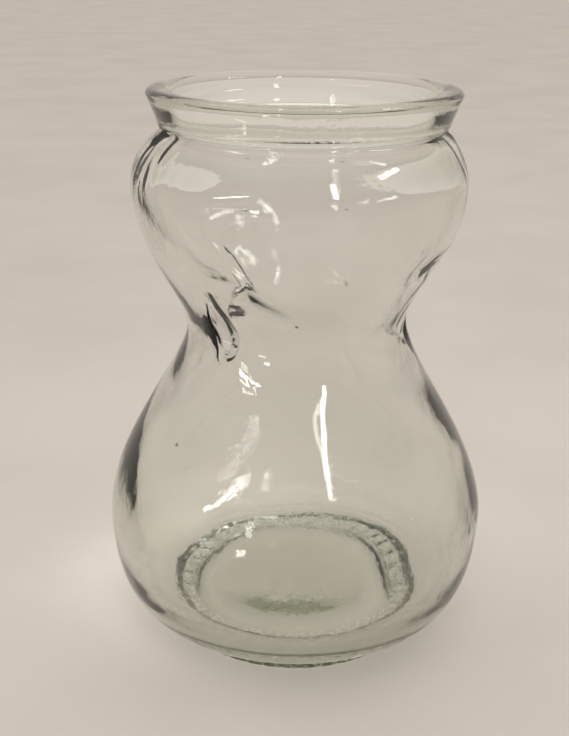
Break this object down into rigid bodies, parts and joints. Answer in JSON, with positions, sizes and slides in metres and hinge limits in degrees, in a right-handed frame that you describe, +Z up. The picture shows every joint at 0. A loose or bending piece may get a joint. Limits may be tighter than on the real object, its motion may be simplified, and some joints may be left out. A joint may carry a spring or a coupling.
{
  "type": "wasp trap",
  "caption": "Clear moulded glass wasp trap vessel with an hourglass body, open rimmed mouth, knurled foot ring and downward entry pockets pushed in through the waist.",
  "frame": {"origin": "centre of the foot ring's resting face", "axes": "+Z up the vessel's axis; -Y is the side seen first, +X its right-hand side"},
  "size_m": [0.1188, 0.1188, 0.17],
  "materials": {
    "clear_glass": "clear moulded glass with a faint green tint and slightly wavy, fire-polished surface"
  },
  "bodies": {
    "root": {"rim_collar": "clear_glass", "upper_shoulder": "clear_glass", "upper_flare": "clear_glass", "waist": "clear_glass", "throat": "clear_glass", "lower_shoulder": "clear_glass", "lower_bulge": "clear_glass", "heel": "clear_glass", "floor": "clear_glass", "foot_ring": "clear_glass", "entry_scoop_front": "clear_glass", "entry_scoop_right": "clear_glass", "entry_scoop_back": "clear_glass"}
  },
  "joints": []
}
